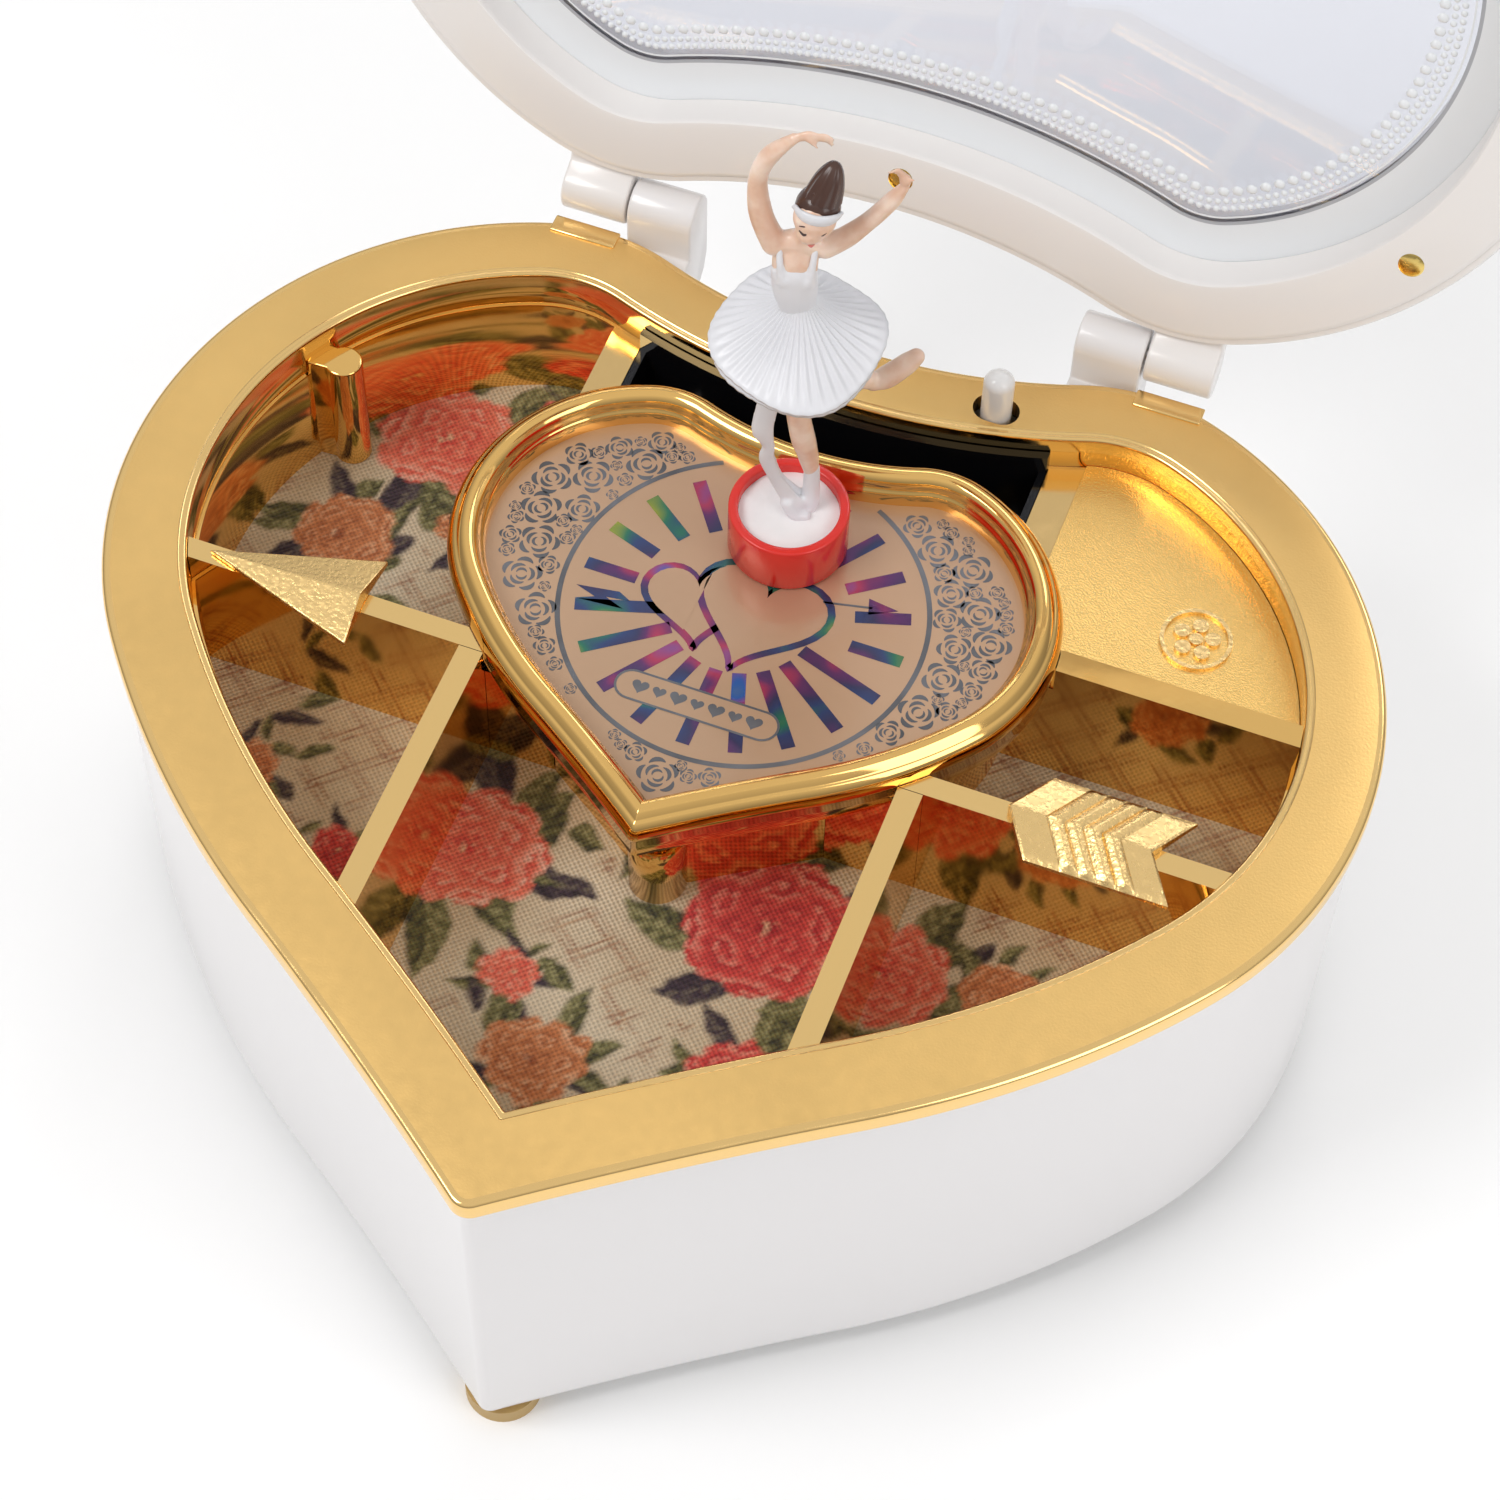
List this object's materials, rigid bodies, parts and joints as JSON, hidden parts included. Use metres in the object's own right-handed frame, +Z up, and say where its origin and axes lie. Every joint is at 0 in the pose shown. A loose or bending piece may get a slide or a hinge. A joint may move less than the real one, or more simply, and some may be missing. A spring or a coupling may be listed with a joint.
{
  "type": "wind-up music box",
  "caption": "Heart-shaped wind-up music box with a hinged windowed lid, a lined tray with dividers and a turning magnetic dancer on a printed stage.",
  "frame": {"origin": "on the table, under the axis of the stage", "axes": "+Z up, +X to the right along the two lobes, -Y towards the tip of the heart, with the lid hinged at +Y"},
  "size_m": [0.184, 0.2124, 0.2312],
  "materials": {
    "pearl_white": "pearl gloss",
    "white_plastic": "matt",
    "brass_screw": "polished",
    "rubber_foot": "matt gold-coloured rubber",
    "gold_satin": "satin gold",
    "gold_mirror": "mirror gold plating",
    "gold_stipple": "stippled gold",
    "black_gloss": "gloss",
    "card": "plain card",
    "printed_fabric": "woven, printed with flowers",
    "stage_copper": "satin copper with a print",
    "steel": "brushed",
    "spring_steel": "blued",
    "lid_cream": "pearl cream",
    "clear_window": "clear",
    "brass": "turned",
    "magnet": "ground",
    "red_gloss": "gloss",
    "plaster": "matt",
    "skin": "painted",
    "dress_white": "painted white",
    "hair_brown": "painted brown"
  },
  "bodies": {
    "case": {"body_shell": "pearl_white", "base_plate": "white_plastic", "base_screws": "brass_screw", "feet": "rubber_foot", "tray_rim": "gold_satin", "tray_wall": "gold_mirror", "stage_tower": "gold_mirror", "divider_front_left": "gold_mirror", "divider_front_right": "gold_mirror", "divider_back_left": "gold_mirror", "divider_back_right": "gold_mirror", "arrow_shaft": "gold_mirror", "arrow_head": "gold_mirror", "arrow_fletching": "gold_satin", "shelf": "gold_stipple", "shelf_emblem": "gold_mirror", "rear_cover": "black_gloss", "lining_card": "card", "fabric_lining": "printed_fabric", "stage_bezel": "gold_mirror", "stage_panel": "stage_copper", "hinge_pins": "steel", "plunger_spring": "steel", "movement_bedplate": "steel", "movement_screws": "steel", "bearing_plates": "steel", "barrel_bridge": "steel", "click": "steel", "comb": "spring_steel", "comb_base": "steel", "spindle_bridge": "steel", "sun_gear": "white_plastic"},
    "lid": {"lid_frame": "lid_cream", "lid_ring": "lid_cream", "lid_window": "clear_window", "lid_screws": "brass_screw"},
    "stopper": {"plunger": "white_plastic", "stop_wire": "steel"},
    "key": {"winding_key": "brass", "winding_arbor": "steel", "ratchet_wheel": "brass"},
    "barrel": {"spring_barrel": "brass", "barrel_cap": "brass", "mainspring": "spring_steel"},
    "cylinder": {"pinned_cylinder": "brass", "cylinder_gears": "brass"},
    "governor": {"governor_wheels": "brass"},
    "fly": {"fly_fan": "steel"},
    "spindle": {"stage_spindle": "steel", "magnet_arm": "white_plastic"},
    "planet": {"planet_gear": "white_plastic", "drive_magnet": "magnet"},
    "figure": {"base_ring": "red_gloss", "base_magnet": "magnet", "plaster_disc": "plaster", "dancer": "skin", "dancer_dress": "dress_white", "dancer_hair": "hair_brown"}
  },
  "joints": [
    {"name": "lid_hinge", "type": "hinge", "parent": "case", "child": "lid", "pos_m": [0, 0.0625, 0.0745], "axis": [1, 0, 0], "range_deg": [0, 105]},
    {"name": "plunger_slide", "type": "slide", "parent": "case", "child": "stopper", "axis": [0, 0, -1], "range_m": [0, 0.0078], "deforming": ["plunger_spring"]},
    {"name": "key_turn", "type": "hinge", "parent": "case", "child": "key", "pos_m": [0.024, 0, 0.01], "axis": [0, 0, 1], "continuous": true},
    {"name": "barrel_spin", "type": "hinge", "parent": "case", "child": "barrel", "pos_m": [0.024, 0, 0.022], "axis": [0, 0, 1], "continuous": true},
    {"name": "spindle_spin", "type": "hinge", "parent": "case", "child": "spindle", "pos_m": [0, 0, 0.02], "axis": [0, 0, 1], "continuous": true},
    {"name": "planet_spin", "type": "hinge", "parent": "spindle", "child": "planet", "pos_m": [0.00203, 0.01446, 0.057], "axis": [0, 0, 1], "continuous": true},
    {"name": "cylinder_spin", "type": "hinge", "parent": "case", "child": "cylinder", "pos_m": [0.024, 0.02, 0.03195], "axis": [0, 1, 0], "continuous": true},
    {"name": "governor_spin", "type": "hinge", "parent": "case", "child": "governor", "pos_m": [0.03825, 0.03, 0.03195], "axis": [0, 1, 0], "continuous": true},
    {"name": "fly_spin", "type": "hinge", "parent": "case", "child": "fly", "pos_m": [0.04864, 0.03, 0.02595], "axis": [0, 1, 0], "continuous": true},
    {"name": "figure_lift", "type": "slide", "parent": "planet", "child": "figure", "axis": [0, -0.97, 0.243], "range_m": [0, 0.19]}
  ],
  "couplings": [
    {"joint": "plunger_slide", "follows": "lid_hinge", "m_per_rad": 0.004202},
    {"joint": "figure_lift", "follows": "lid_hinge", "m_per_rad": 0.1},
    {"joint": "spindle_spin", "follows": "barrel_spin", "ratio": -1},
    {"joint": "planet_spin", "follows": "barrel_spin", "ratio": -1.5},
    {"joint": "cylinder_spin", "follows": "barrel_spin", "ratio": 3.3333},
    {"joint": "governor_spin", "follows": "barrel_spin", "ratio": -9.3333},
    {"joint": "fly_spin", "follows": "barrel_spin", "ratio": 28}
  ]
}
